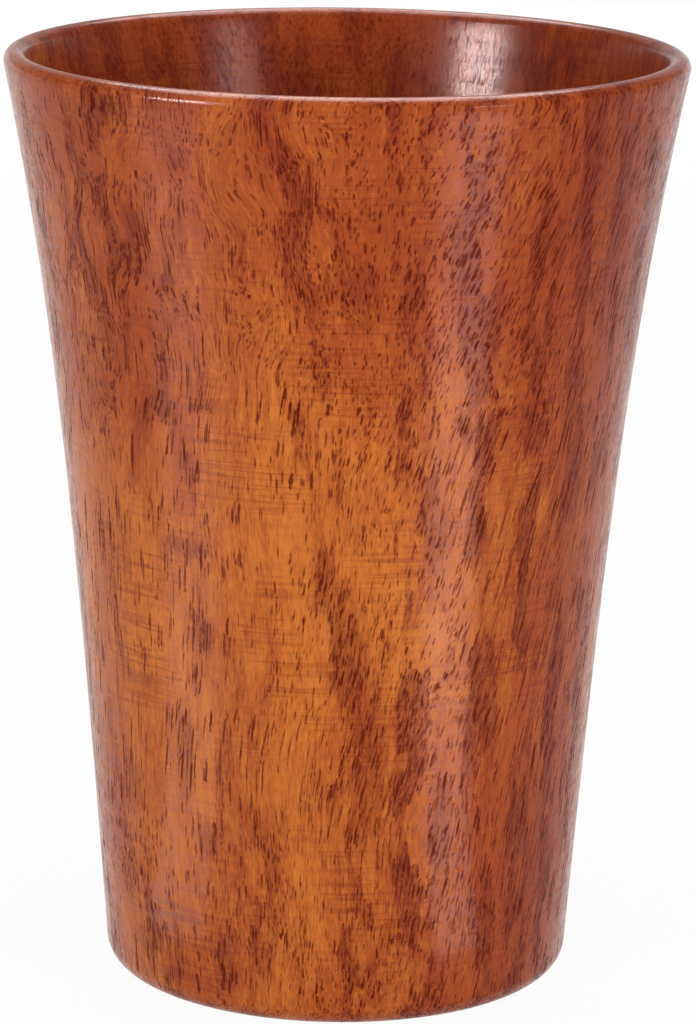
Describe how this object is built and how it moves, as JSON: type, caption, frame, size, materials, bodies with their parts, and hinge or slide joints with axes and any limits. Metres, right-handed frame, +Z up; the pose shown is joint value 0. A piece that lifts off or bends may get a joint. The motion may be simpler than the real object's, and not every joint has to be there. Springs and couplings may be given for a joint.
{
  "type": "wooden cup",
  "caption": "Flared turned wooden cup with a rounded lip, a floor let in from below and a flat foot ring; a lacquered tumbler for drinks.",
  "frame": {"origin": "on the table plane, under the middle of the foot", "axes": "+Z up along the turning axis; the cup is round, so X and Y are level and free, and the picture looks along +Y"},
  "size_m": [0.076, 0.076, 0.105],
  "materials": {
    "wall_wood": "reddish hardwood, upright grain, clear gloss lacquer",
    "floor_wood": "same hardwood with its grain across, clear gloss lacquer",
    "glue": "dark cured glue, flush with the seam"
  },
  "bodies": {
    "root": {"cup_wall": "wall_wood", "floor_plug": "floor_wood", "glue_ring": "glue"}
  },
  "joints": []
}
